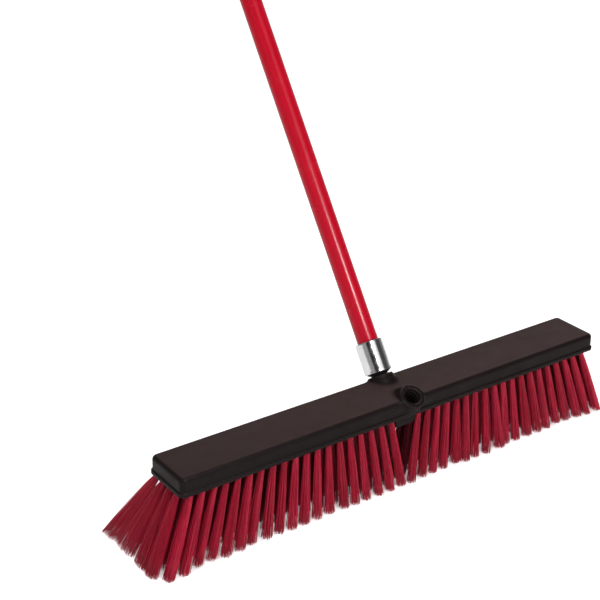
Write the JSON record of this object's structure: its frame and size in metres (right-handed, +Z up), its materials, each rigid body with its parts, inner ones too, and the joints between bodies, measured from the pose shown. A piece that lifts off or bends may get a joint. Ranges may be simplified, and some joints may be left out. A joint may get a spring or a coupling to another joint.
{
  "type": "push broom",
  "caption": "Wide push broom: a dark moulded block with two angled handle sockets, rows of red bristle tufts, and a red tube handle with a plated ferrule that screws out.",
  "frame": {"origin": "centre of the block's flat top face", "axes": "+X along the block, +Y towards the side the handle leans to, +Z up from the bristle tips to the handle"},
  "size_m": [0.6761, 0.9369, 1.3415],
  "materials": {
    "block_plastic": "black moulded resin, fine satin grain, slightly glossier worn edges",
    "bristles": "crimson extruded filament, slightly waxy, frayed tips",
    "anchor_wire": "flat galvanised wire",
    "tip_plastic": "black glass-filled nylon, semi gloss",
    "pin_steel": "plain steel",
    "ferrule_chrome": "bright plated sleeve with fine handling marks",
    "handle_coating": "red powder coat on steel tube, glossy with slight orange peel",
    "cap_plastic": "black moulded plastic"
  },
  "bodies": {
    "block": {"block": "block_plastic", "tufts_front_left": "bristles", "tufts_front_right": "bristles", "tufts_inner_front_left": "bristles", "tufts_inner_front_right": "bristles", "tufts_middle_left": "bristles", "tufts_middle_right": "bristles", "tufts_inner_back_left": "bristles", "tufts_inner_back_right": "bristles", "tufts_back_left": "bristles", "tufts_back_right": "bristles", "anchors_front": "anchor_wire", "anchors_inner_front": "anchor_wire", "anchors_middle": "anchor_wire", "anchors_inner_back": "anchor_wire", "anchors_back": "anchor_wire"},
    "ferrule": {"ferrule": "ferrule_chrome"},
    "handle": {"threaded_tip": "tip_plastic", "tip_cross_pin": "pin_steel", "handle_tube": "handle_coating", "hang_cap": "cap_plastic"}
  },
  "joints": [
    {"name": "handle_advance", "type": "slide", "parent": "block", "child": "ferrule", "axis": [0, 0.5736, 0.8192], "range_m": [0, 0.0254]},
    {"name": "handle_turn", "type": "hinge", "parent": "ferrule", "child": "handle", "pos_m": [0.0065, 0.03, 0.002], "axis": [0, 0.5736, 0.8192], "range_deg": [0, 1800]}
  ],
  "couplings": [
    {"joint": "handle_advance", "follows": "handle_turn", "m_per_rad": 0.0008085}
  ]
}
